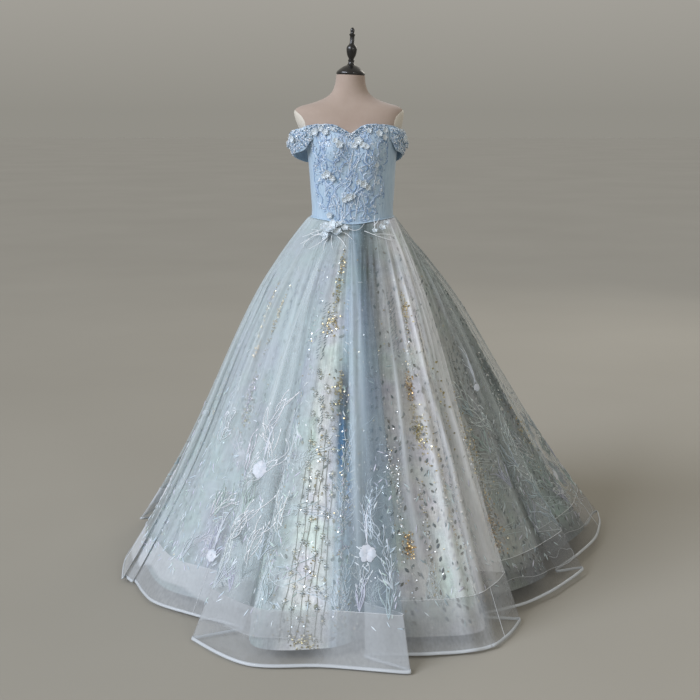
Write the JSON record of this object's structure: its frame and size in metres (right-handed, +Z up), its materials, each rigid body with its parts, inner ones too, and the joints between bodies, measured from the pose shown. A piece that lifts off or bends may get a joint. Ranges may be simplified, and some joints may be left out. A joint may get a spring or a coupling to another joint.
{
  "type": "ball gown on dress form",
  "caption": "Off-shoulder ball gown with a lace bodice and a full gathered skirt of sheer organza over embroidered tulle, on a limbless dress form with a turned finial.",
  "frame": {"origin": "middle of the stand's underside, on the floor", "axes": "+Z up, the gown faces -Y, +X on the right seen from in front"},
  "size_m": [1.699, 1.7964, 1.757],
  "materials": {
    "organza": "sheer pale blue organza, slight sheen",
    "organza_band": "sheer greyish-white organza",
    "horsehair": "stiff white horsehair braid",
    "tulle": "tulle embroidered with glitter and beads",
    "satin": "matt ice-blue satin",
    "lace": "corded vine lace on satin",
    "flower": "folded organza petals",
    "jersey": "off-white jersey over a moulded form",
    "black_wood": "turned wood, black satin paint",
    "black_metal": "black powder coat"
  },
  "bodies": {
    "root": {"bodice_back_left": "satin", "bodice_back_right": "satin", "bodice_front": "lace", "bodice_side_left": "satin", "bodice_side_right": "satin", "finial": "black_wood", "flower_front_1": "flower", "flower_front_2": "flower", "flower_front_3": "flower", "flower_neck_1": "flower", "flower_neck_2": "flower", "flower_neck_3": "flower", "flower_neck_4": "flower", "flower_neck_5": "flower", "flower_sleeve_left_1": "flower", "flower_sleeve_left_2": "flower", "flower_sleeve_right_1": "flower", "flower_sleeve_right_2": "flower", "flower_waist_1": "flower", "flower_waist_2": "flower", "form_body": "jersey", "hem_band_1": "organza_band", "hem_band_2": "organza_band", "hem_band_3": "organza_band", "hem_band_4": "organza_band", "hem_band_5": "organza_band", "hem_edge_1": "horsehair", "hem_edge_2": "horsehair", "hem_edge_3": "horsehair", "hem_edge_4": "horsehair", "hem_edge_5": "horsehair", "neck_cap": "black_wood", "skirt_gore_1": "organza", "skirt_gore_2": "organza", "skirt_gore_3": "organza", "skirt_gore_4": "organza", "skirt_gore_5": "organza", "sleeve_left": "lace", "sleeve_right": "lace", "stand_base": "black_metal", "stand_pole": "black_metal", "tulle_gore_1": "tulle", "tulle_gore_2": "tulle", "tulle_gore_3": "tulle", "tulle_gore_4": "tulle", "tulle_gore_5": "tulle"}
  },
  "joints": []
}
